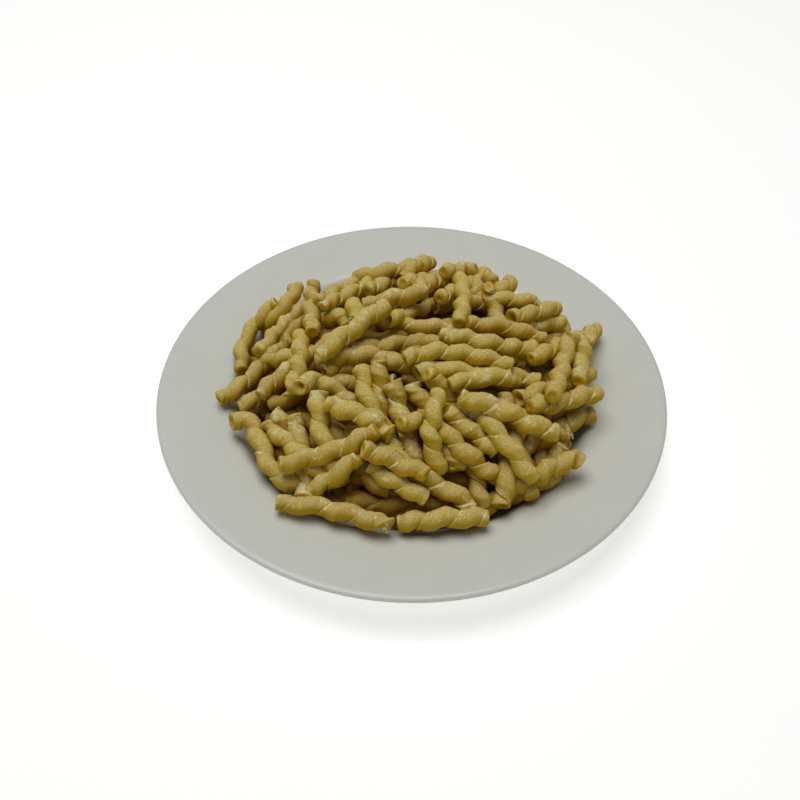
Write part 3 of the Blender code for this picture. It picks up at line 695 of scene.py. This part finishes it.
class TwistMold:
    """A tube with open rolled ends, made once, whose points are then set for each twist."""

    def __init__(self, sides, rings):
        self.sides = sides
        bm = bmesh.new()
        bmesh.ops.create_cone(
            bm, cap_ends=False, segments=sides, radius1=1, radius2=1, depth=rings
        )
        long_edges = [e for e in bm.edges if abs(e.verts[0].co.z - e.verts[1].co.z) > 0.5]
        bmesh.ops.subdivide_edges(bm, edges=long_edges, cuts=rings - 1, use_grid_fill=True)
        for _ in range(INNER_RINGS):
            rim = [e for e in bm.edges if e.is_boundary]
            grown = bmesh.ops.extrude_edge_only(bm, edges=rim)
            for part in grown["geom"]:
                if isinstance(part, bmesh.types.BMVert):
                    part.co.x *= RING_SHRINK
                    part.co.y *= RING_SHRINK
        rim = [e for e in bm.edges if e.is_boundary]
        caps = bmesh.ops.holes_fill(bm, edges=rim, sides=0)["faces"]
        bmesh.ops.poke(bm, faces=caps)
        bmesh.ops.recalc_face_normals(bm, faces=bm.faces)
        for face in bm.faces:
            face.smooth = True
        self.mesh = bpy.data.meshes.new("twist_mold")
        bm.to_mesh(self.mesh)
        bm.free()
        spots = np.zeros(len(self.mesh.vertices) * 3)
        self.mesh.vertices.foreach_get("co", spots)
        spots = spots.reshape(-1, 3)
        reach = np.hypot(spots[:, 0], spots[:, 1])
        self.share = spots[:, 2] / rings + 0.5
        self.head = spots[:, 2] > 0
        with np.errstate(divide="ignore"):
            layer = np.round(np.log(np.maximum(reach, 1e-6)) / math.log(RING_SHRINK))
        self.layer = np.clip(layer, 0, INNER_RINGS + 1).astype(int)
        turn = np.arctan2(spots[:, 1], spots[:, 0]) / math.tau
        self.column = np.mod(np.round(turn * sides), sides).astype(int)

    def columns(self):
        """Where each column of points stands round the roll, closer together at its two edges."""
        fine = np.linspace(0, 1, 400)
        density = 1 + OUTER_CROWD[0] * np.exp(-(1 - fine) / OUTER_CROWD[1])
        density = density + INNER_CROWD[0] * np.exp(-fine / INNER_CROWD[1])
        total = np.concatenate([[0], np.cumsum((density[1:] + density[:-1]) / 2)])
        return np.interp(np.arange(self.sides) / self.sides * total[-1], total, fine)

    def twist(self, line, seed, look):
        """A mesh of one twist along the line, with its tone, lip and flour as attributes, and its
        depth below the mound for painted shade.
        """
        rng = random.Random(seed)
        pitch = look.get("pitch", PITCH * rng.uniform(*PITCH_RANGE))
        phase = rng.uniform(0, math.tau)
        depth = CREASE * rng.uniform(*CREASE_RANGE)
        width = TWIST_WIDTH * look.get("wide", rng.uniform(*WIDTH_RANGE))
        middle, way, side, rise, length = axes_along(line, self.share)
        run = self.share * length
        turn = math.tau * run / pitch + phase + 0.5 * waves(rng, run, 0.030)
        towards = np.cos(turn)[:, None] * side + np.sin(turn)[:, None] * rise
        around = self.columns()[self.column]
        from_ends = np.minimum(run, length - run)
        whole = np.clip(from_ends / END_EASE, 0, 1)
        whole = whole * whole * (3 - 2 * whole)
        crease = depth * (1 + 0.4 * waves(rng, run, 0.020)) * (END_CREASE + (1 - END_CREASE) * whole)
        reach = roll_section(around, crease)
        reach = reach * (1 + SWELL * waves(rng, run, 0.022))
        for folds, spread in LUMP_WAVES:
            along = math.tau * run / (spread * rng.uniform(*LUMP_RANGE)) + rng.uniform(0, math.tau)
            facets = np.sin(math.tau * around * folds + rng.uniform(0, math.tau))
            reach = reach + LUMPS * np.sin(along) * facets
        angle = math.tau * around + turn
        overhang = LIP_OVERHANG * whole * np.exp(-(((around - LIP_AT) / 0.03) ** 2))
        sway = OFF_MIDDLE * width / 2 * (1 + 0.5 * waves(rng, run, 0.025)) * (0.3 + 0.7 * whole)
        middle = middle - sway[:, None] * towards
        angle = angle + overhang
        wide, flat, push, inner, shift = self.ends(rng, look, run, length, angle, seed)
        middle = middle + (shift * width)[:, None] * towards
        flat_turn = turn + rng.uniform(0, math.tau)
        across = reach * width / 2 * inner
        u, v = np.cos(angle - flat_turn) * wide, np.sin(angle - flat_turn) * flat
        x = np.cos(flat_turn) * u - np.sin(flat_turn) * v
        y = np.sin(flat_turn) * u + np.cos(flat_turn) * v
        spots = middle + across[:, None] * (x[:, None] * side + y[:, None] * rise)
        spots = spots + push[:, None] * way
        radius = np.hypot(spots[:, 0], spots[:, 1])
        spots[:, 2] = np.maximum(spots[:, 2], plate_height(radius) + PLATE_GAP)
        mesh = self.mesh.copy()
        mesh.vertices.foreach_set("co", spots.reshape(-1))
        lip = np.exp(-(((around - LIP_AT) / LIP_FLOUR_WIDTH) ** 2)) * (self.layer == 0)
        lip = np.maximum(lip, (self.layer == 1) * 0.6)
        by_end = np.clip(1 - from_ends / FLOUR_END, 0, 1)
        dust = look.get("flour", rng.choice(FLOUR_CHOICES))
        # Depth below the mound, which the material paints as shade: darker, browner dough with less
        # flour
        under = mound_height(spots[:, 0], spots[:, 1]) - spots[:, 2]
        low = np.clip(under / TWIST_WIDTH - PAINTED_SHADE_FROM, 0, PAINTED_SHADE_OVER) / PAINTED_SHADE_OVER
        patch = np.clip(waves(rng, run, 0.024) + 0.2, 0, 1)
        for name, values in (
            ("lip", lip),
            ("flour", np.clip(dust * (0.5 + patch) + by_end * 0.2, 0, 1)),
            ("tone", np.full_like(run, rng.random())),
            ("inside", (self.layer > 1) * 1.0),
            ("low", low),
        ):
            layer = mesh.attributes.new(name, "FLOAT", "POINT")
            layer.data.foreach_set("value", values.astype(np.float32))
        return mesh

    def ends(self, rng, look, run, length, angle, seed):
        """How both ends change the twist: its growth both ways, push, inner reach and shift."""
        wide, flat = np.ones_like(run), np.ones_like(run)
        push, shift = np.zeros_like(run), np.zeros_like(run)
        inner = np.ones_like(run)
        for head, kind in ((False, look.get("tail")), (True, look.get("head"))):
            style = END_STYLES[kind or rng.choice(END_MIX)]
            reach, growth, flattening, slant, ragged, moved, rings = style
            from_end = (length - run) if head else run
            near = np.clip(1 - from_end / reach, 0, 1)
            near = near * near * (3 - 2 * near)
            wide += near * growth
            flat += near * flattening
            slant = slant * rng.uniform(0.5, 1.3)
            facing = rng.uniform(0, math.tau)
            slanted = slant * (0.5 - 0.5 * np.cos(angle - facing)) * near
            ragged = ragged * np.sin(self.column * 2.3 + seed) * near
            sign = -1.0 if head else 1.0
            mine = self.head == head
            push += np.where(mine, sign * (slanted + ragged), 0)
            for layer, (share, depth) in enumerate((*rings, (0.0, rings[-1][1])), start=1):
                chosen = mine & (self.layer == layer)
                inner = np.where(chosen, share, inner)
                push += np.where(chosen, sign * depth, 0)
            shift += np.where(mine & (self.layer > 0), moved, 0)
        return wide, flat, push, inner, shift


class PastaSettings(bpy.types.PropertyGroup):
    """Colours of the pasta and the flour on it, and the core's painted shade."""

    dough: FloatVectorProperty(
        name="Dough", description="Colour of the pasta where light falls on it",
        subtype="COLOR", size=3, min=0, max=1, default=(0.55, 0.340, 0.012),
    )
    pale_dough: FloatVectorProperty(
        name="Pale dough", description="Colour of the paler twists",
        subtype="COLOR", size=3, min=0, max=1, default=(0.65, 0.455, 0.036),
    )
    flour: FloatVectorProperty(
        name="Flour", description="Colour of the flour",
        subtype="COLOR", size=3, min=0, max=1, default=(0.84, 0.785, 0.46),
    )
    # Core: painted shade, a dark colour for the shade deep between the twists
    core: FloatVectorProperty(
        name="Core", description="Colour deep inside the heap",
        subtype="COLOR", size=3, min=0, max=1, default=(0.24, 0.12, 0.010),
    )
    dusting: FloatProperty(
        name="Dusting", description="How much flour lies on the twists",
        subtype="FACTOR", min=0, max=2, default=1.0,
    )


class PlateSettings(bpy.types.PropertyGroup):
    """The plate's glaze."""

    glaze: FloatVectorProperty(
        name="Glaze", description="Colour of the glaze",
        subtype="COLOR", size=3, min=0, max=1, default=(0.745, 0.765, 0.715),
    )
    gloss: FloatProperty(
        name="Roughness", description="Roughness of the glaze",
        subtype="FACTOR", min=0, max=1, default=0.3,
    )
    steps: IntProperty(
        name="Steps", description="Steps round the plate", min=32, max=256, default=PLATE_STEPS
    )


class StageSettings(bpy.types.PropertyGroup):
    """Light and floor."""

    key: FloatProperty(name="Key light", description="Power in watts", min=0, default=16.6)
    fill: FloatProperty(name="Fill light", description="Power in watts", min=0, default=0.25)
    sky: FloatProperty(
        name="Sky", description="Strength of the light all round", min=0, default=0.135
    )
    floor_size: FloatProperty(
        name="Floor", description="Side of the floor", subtype="DISTANCE", unit="LENGTH",
        default=6.0,
    )


def linked(piece):
    bpy.context.scene.collection.objects.link(piece)
    return piece


def mesh_piece(name, bm, material):
    """An object of this finished bmesh, shaded smooth."""
    for face in bm.faces:
        face.smooth = True
    mesh = bpy.data.meshes.new(name)
    bm.to_mesh(mesh)
    bm.free()
    mesh.materials.append(material)
    return linked(bpy.data.objects.new(name, mesh))


class Nodes:
    """Short ways to build one material. Inputs take plain values or outputs of nodes."""

    def __init__(self, name):
        self.material = bpy.data.materials.new(name)
        self.material.use_nodes = True
        self.tree = self.material.node_tree
        self.place = self.new("ShaderNodeTexCoord").outputs["Object"]

    def put(self, node, inputs):
        for name, value in inputs.items():
            if isinstance(value, bpy.types.NodeSocket):
                self.tree.links.new(value, node.inputs[name])
            else:
                node.inputs[name].default_value = value

    def new(self, kind, inputs=None, **values):
        node = self.tree.nodes.new(kind)
        for key, value in values.items():
            setattr(node, key, value)
        self.put(node, inputs or {})
        return node

    def noise(self, scale, detail=2.0, roughness=0.5):
        inputs = {"Vector": self.place, "Scale": scale, "Detail": detail, "Roughness": roughness}
        return self.new("ShaderNodeTexNoise", inputs).outputs["Fac"]

    def range(self, value, low, high, to_low=0.0, to_high=1.0):
        inputs = {
            "Value": value, "From Min": low, "From Max": high, "To Min": to_low, "To Max": to_high
        }
        node = self.new("ShaderNodeMapRange", inputs, interpolation_type="SMOOTHSTEP")
        return node.outputs["Result"]

    def math(self, kind, first, second):
        return self.new("ShaderNodeMath", {0: first, 1: second}, operation=kind).outputs["Value"]

    def mix(self, share, *colours):
        first, second = (c if isinstance(c, bpy.types.NodeSocket) else (*c, 1.0) for c in colours)
        inputs = {"Factor": share, 6: first, 7: second}
        return self.new("ShaderNodeMix", inputs, data_type="RGBA").outputs[2]

    def attribute(self, name):
        return self.new("ShaderNodeAttribute", attribute_name=name).outputs["Fac"]

    def bump(self, height, distance, strength=1.0, **before):
        inputs = {"Height": height, "Distance": distance, "Strength": strength, **before}
        return self.new("ShaderNodeBump", inputs).outputs["Normal"]

    def finished(self, **values):
        """The material, once its shader has these inputs."""
        inputs = {key.replace("_", " "): value for key, value in values.items()}
        self.put(self.tree.nodes["Principled BSDF"], inputs)
        return self.material


def glaze_material(plate):
    """White glaze: nearly even, with faint waves and specks."""
    made = Nodes("white_glaze")
    warm = [c * k for c, k in zip(plate.glaze, (0.985, 0.975, 0.95))]
    ripples = made.noise(55.0, 1.0)
    return made.finished(
        Base_Color=made.mix(made.noise(28.0, 3.0), plate.glaze, warm),
        Roughness=made.range(ripples, 0.3, 0.7, plate.gloss * 0.85, plate.gloss * 1.2),
        Normal=made.bump(ripples, 0.00012, 0.35),
        IOR=1.45, Coat_Weight=0.12, Coat_Roughness=0.06,
    )


def pasta_material(pasta):
    """Dough that light enters a little way, with a fine grain and flour on it, painted shade deep in
    the heap and painted light on what faces up.
    """
    made = Nodes("pasta")
    grain = made.noise(1800.0, 3.0, 0.6)
    cloud = made.noise(170.0, 3.0, 0.55)
    tone = made.attribute("tone")
    share = made.math("ADD", made.math("MULTIPLY", tone, 0.7), made.math("MULTIPLY", cloud, 0.5))
    dough = made.mix(made.range(share, 0.2, 0.9), pasta.dough, pasta.pale_dough)
    specks = made.range(grain, 0.36, 0.62, 0.45, 1.0)
    dough = made.mix(specks, [c * 0.82 for c in pasta.dough], dough)
    # Flour: in patches and more on seams; what faces up is paler, partly flour and partly painted
    # light from above; deep in the heap less flour and a painted shade
    patches = made.noise(330.0, 4.0, 0.65)
    facing = made.new("ShaderNodeNewGeometry").outputs["Normal"]
    up_flour_and_light = made.new("ShaderNodeSeparateXYZ", {"Vector": facing}).outputs["Z"]
    up_flour_and_light = made.range(up_flour_and_light, 0.3, 1.0)
    streaks = made.range(made.noise(180.0, 3.0), 0.53, 0.62, 0.0, 0.46)
    seams = made.math("MULTIPLY", made.attribute("lip"), streaks)
    weight = made.math("ADD", made.math("MULTIPLY", made.attribute("flour"), 0.27), seams)
    weight = made.math("ADD", weight, made.math("MULTIPLY", up_flour_and_light, 0.16))
    weight = made.math("MULTIPLY", weight, pasta.dusting)
    flour_cover_and_light = made.range(made.math("ADD", patches, weight), 0.72, 0.98)
    flour_cover_and_light = made.math("MULTIPLY", flour_cover_and_light, made.range(grain, 0.28, 0.60, 0.35, 1.0))
    # Painted light: what faces up is paler, partly flour lying on top and partly painted light from
    # above
    top_flour_and_painted_light = made.math("MULTIPLY", up_flour_and_light, made.range(grain, 0.36, 0.66, 0.10, 0.60))
    flour_cover_and_light = made.math("MAXIMUM", flour_cover_and_light, top_flour_and_painted_light)
    # Painted shade: deep in the heap the flour thins and the dough turns to a darker, browner copy
    low = made.attribute("low")
    flour_cover_and_light = made.math("MULTIPLY", flour_cover_and_light, made.range(low, 0.0, 1.0, 1.0, 0.25))
    painted_shade_dough = [c * k for c, k in zip(pasta.dough, (0.60, 0.47, 0.30))]
    coloured = made.mix(flour_cover_and_light, made.mix(low, dough, painted_shade_dough), pasta.flour)
    inside = made.math("MULTIPLY", made.attribute("inside"), 0.45)
    return made.finished(
        Base_Color=made.mix(inside, coloured, pasta.dough),
        Roughness=made.range(flour_cover_and_light, 0.0, 1.0, 0.50, 0.85),
        Normal=made.bump(
            made.noise(520.0, 3.0), 0.00035, 0.6, Normal=made.bump(grain, 0.00018, 0.35)
        ),
        Subsurface_Weight=0.36, Subsurface_Radius=(1.0, 0.80, 0.12), Subsurface_Scale=0.0034,
        IOR=1.4, Specular_IOR_Level=0.14,
    )


def painted_shade_core_material(pasta):
    """Dough deep between the twists, coloured dark as painted shade."""
    made = Nodes("pasta_core")
    cloud = made.range(made.noise(240.0, 3.0), 0.35, 0.65)
    return made.finished(
        Base_Color=made.mix(cloud, [c * 0.6 for c in pasta.core], pasta.core),
        Normal=made.bump(made.noise(420.0, 3.0), 0.0006),
        Roughness=0.8, Specular_IOR_Level=0.2,
    )


def floor_material():
    """A pale ground that is nearly white of itself."""
    made = Nodes("pale_floor")
    return made.finished(
        Base_Color=made.mix(made.noise(3.0), (0.86, 0.86, 0.85), (0.88, 0.88, 0.87)),
        Roughness=0.7, Specular_IOR_Level=0.2,
        Emission_Strength=0.45, Emission_Color=(1.0, 1.0, 1.0, 1.0),
    )


def dress(piece):
    """Says what carries the piece."""
    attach(piece, "root")


def plate_section():
    """The plate's section with rounded corners, from the middle of its top down to its foot."""
    top = spline(PLATE_TOP[2:], 5)
    edge = spline(PLATE_LIP, 5)
    under = spline(PLATE_LIP[-1:] + PLATE_UNDER[:6], 4)
    return np.concatenate([PLATE_TOP[:2], top, edge[1:], under[1:], PLATE_UNDER[6:]]).tolist()


class PASTA_OT_plate(bpy.types.Operator):
    """Turns the plate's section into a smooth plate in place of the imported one"""

    bl_idname = "pasta.plate"
    bl_label = "Plate"

    def execute(self, context):
        plate = context.scene.pasta_plate
        bm = bmesh.new()
        verts = [bm.verts.new((radius, 0, height)) for radius, height in plate_section()]
        edges = [bm.edges.new(pair) for pair in zip(verts, verts[1:])]
        bmesh.ops.spin(
            bm, geom=verts + edges, cent=(0, 0, 0), axis=(0, 0, 1), angle=math.tau,
            steps=plate.steps, use_merge=True,
        )
        bmesh.ops.remove_doubles(bm, verts=bm.verts, dist=0.00001)
        bmesh.ops.recalc_face_normals(bm, faces=bm.faces)
        piece = mesh_piece("plate_glazed", bm, glaze_material(plate))
        dress(piece)
        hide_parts("plate")
        return {"FINISHED"}


class PASTA_OT_core(bpy.types.Operator):
    """Makes the low core that closes the gaps between the twists, its dark colour painted shade"""

    bl_idname = "pasta.core"
    bl_label = "Core"

    def execute(self, context):
        bm = bmesh.new()
        bmesh.ops.create_circle(bm, segments=CORE_STEPS, radius=CORE_RADIUS, cap_ends=True)
        faces = list(bm.faces)
        for ring in range(CORE_RINGS, 1, -1):
            bmesh.ops.inset_region(bm, faces=faces, thickness=CORE_EDGE, use_boundary=True)
            radius = CORE_RADIUS * (ring - 1) / CORE_RINGS
            for vert in faces[0].verts:
                scale = radius / math.hypot(vert.co.x, vert.co.y)
                vert.co.x *= scale
                vert.co.y *= scale
        bmesh.ops.poke(bm, faces=faces)
        grown = bmesh.ops.extrude_face_region(bm, geom=list(bm.faces))
        upper = {v for v in grown["geom"] if isinstance(v, bmesh.types.BMVert)}
        for vert in bm.verts:
            radius = math.hypot(vert.co.x, vert.co.y)
            low = float(plate_height(radius)) + PLATE_GAP
            if vert not in upper:
                vert.co.z = low
                continue
            lump = math.sin(vert.co.x * CORE_LUMPS_X) * math.sin(vert.co.y * CORE_LUMPS_Y + 1)
            top = float(mound_height(radius, 0)) - TWIST_WIDTH * CORE_SINK + CORE_LUMP * lump
            side = max(0.0, 1 - (radius / CORE_RADIUS) ** 6)
            vert.co.z = low + CORE_EDGE + max(top - low, 0.0) * side
        bmesh.ops.recalc_face_normals(bm, faces=bm.faces)
        piece = mesh_piece("pasta_core", bm, painted_shade_core_material(context.scene.pasta_food))
        dress(piece)
        return {"FINISHED"}


def joined_twists(name, mold, lines, looks, first_seed, material):
    """One object of all these twists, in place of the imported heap."""
    bm = bmesh.new()
    for number, (line, look) in enumerate(zip(lines, looks)):
        mesh = mold.twist(line, first_seed + number, look)
        bm.from_mesh(mesh)
        bpy.data.meshes.remove(mesh)
    piece = mesh_piece(name, bm, material)
    dress(piece)
    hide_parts("pasta_heap")


def single_looks():
    """What is special about each open twist, by its number."""
    looks = {number: {} for number in range(len(TWISTS))}
    for name, choices in LOOKS.items():
        for value, numbers in choices.items():
            for number in numbers:
                looks[number][name] = value
    return looks


class PASTA_OT_twists(bpy.types.Operator):
    """Lays the twists that are open to view, each where it was read"""

    bl_idname = "pasta.twists"
    bl_label = "Twists"

    def execute(self, context):
        material = pasta_material(context.scene.pasta_food)
        mold = TwistMold(FINE_SIDES, FINE_RINGS)
        lines = laid_twists()
        special = single_looks()
        start = 0
        for name, group in GROUPS.items():
            part = lines[start:start + len(group)]
            looks = [special[start + k] for k in range(len(group))]
            joined_twists(f"twists_{name}", mold, part, looks, OPEN_SEED + start, material)
            start += len(group)
        outline = heap_outline(lines)
        for name, hidden, mold, seed in (
            ("deep", deep_lines(lines, outline), TwistMold(DEEP_SIDES, DEEP_RINGS), DEEP_SEED),
            ("under", fill_lines(lines, outline), TwistMold(FILL_SIDES, FILL_RINGS), UNDER_SEED),
        ):
            looks = [UNDER_LOOK] * len(hidden)
            joined_twists(f"twists_{name}", mold, hidden, looks, seed, material)
        return {"FINISHED"}


class PASTA_OT_stage(bpy.types.Operator):
    """Sets the floor, the lights and the camera"""

    bl_idname = "pasta.stage"
    bl_label = "Stage"

    def execute(self, context):
        stage = context.scene.pasta_stage
        bm = bmesh.new()
        bmesh.ops.create_grid(bm, x_segments=1, y_segments=1, size=stage.floor_size / 2)
        floor = mesh_piece("floor", bm, floor_material())
        floor.location.z = -0.0002
        for power, light in zip((stage.key, stage.fill), LIGHTS):
            area_light(power, *light)
        world = bpy.data.worlds.new("studio")
        world.use_nodes = True
        sky = world.node_tree.nodes["Background"]
        sky.inputs["Color"].default_value = SKY_COLOUR
        sky.inputs["Strength"].default_value = stage.sky
        context.scene.world = world
        context.scene.view_settings.view_transform = "Standard"
        camera = linked(bpy.data.objects.new("camera", bpy.data.cameras.new("camera")))
        camera.data.sensor_width = SENSOR_WIDTH
        camera.data.lens = SENSOR_WIDTH * CAMERA_FOCAL / (2 * PICTURE_MIDDLE)
        camera.data.clip_start = 0.01
        camera.location = tuple(EYE)
        camera.rotation_euler = (math.pi / 2 - CAMERA_PITCH, 0.0, 0.0)
        context.scene.camera = camera
        return {"FINISHED"}


def area_light(power, name, place, size, colour):
    """A square soft light that looks at the heap."""
    data = bpy.data.lights.new(name, "AREA")
    data.energy = power
    data.size = size
    data.color = colour
    light = linked(bpy.data.objects.new(name, data))
    light.location = place
    way = np.array(place) - np.array(LIGHTS_LOOK_AT)
    light.rotation_euler = (
        math.atan2(math.hypot(way[0], way[1]), way[2]), 0.0, math.atan2(way[0], -way[1])
    )


class PASTA_PT_panel(bpy.types.Panel):
    """Lists the pieces and their settings"""

    bl_idname = "PASTA_PT_panel"
    bl_label = "Plate of pasta"
    bl_space_type = "VIEW_3D"
    bl_region_type = "UI"
    bl_category = "Pasta"

    def draw(self, context):
        scene = context.scene
        for settings in (scene.pasta_plate, scene.pasta_food, scene.pasta_stage):
            box = self.layout.box()
            for name in settings.__annotations__:
                box.prop(settings, name)
        for step in STEPS:
            self.layout.operator(step.bl_idname)


STEPS = (PASTA_OT_plate, PASTA_OT_core, PASTA_OT_twists, PASTA_OT_stage)
CLASSES = (PlateSettings, PastaSettings, StageSettings, *STEPS, PASTA_PT_panel)


def register():
    for cls in CLASSES:
        bpy.utils.register_class(cls)
    bpy.types.Scene.pasta_plate = PointerProperty(type=PlateSettings)
    bpy.types.Scene.pasta_food = PointerProperty(type=PastaSettings)
    bpy.types.Scene.pasta_stage = PointerProperty(type=StageSettings)


def unregister():
    del bpy.types.Scene.pasta_stage
    del bpy.types.Scene.pasta_food
    del bpy.types.Scene.pasta_plate
    for cls in reversed(CLASSES):
        bpy.utils.unregister_class(cls)


def main():
    register()
    bpy.ops.pasta.plate()
    bpy.ops.pasta.core()
    bpy.ops.pasta.twists()
    bpy.ops.pasta.stage()
    bpy.context.view_layer.update()


if __name__ == "__main__":
    main()
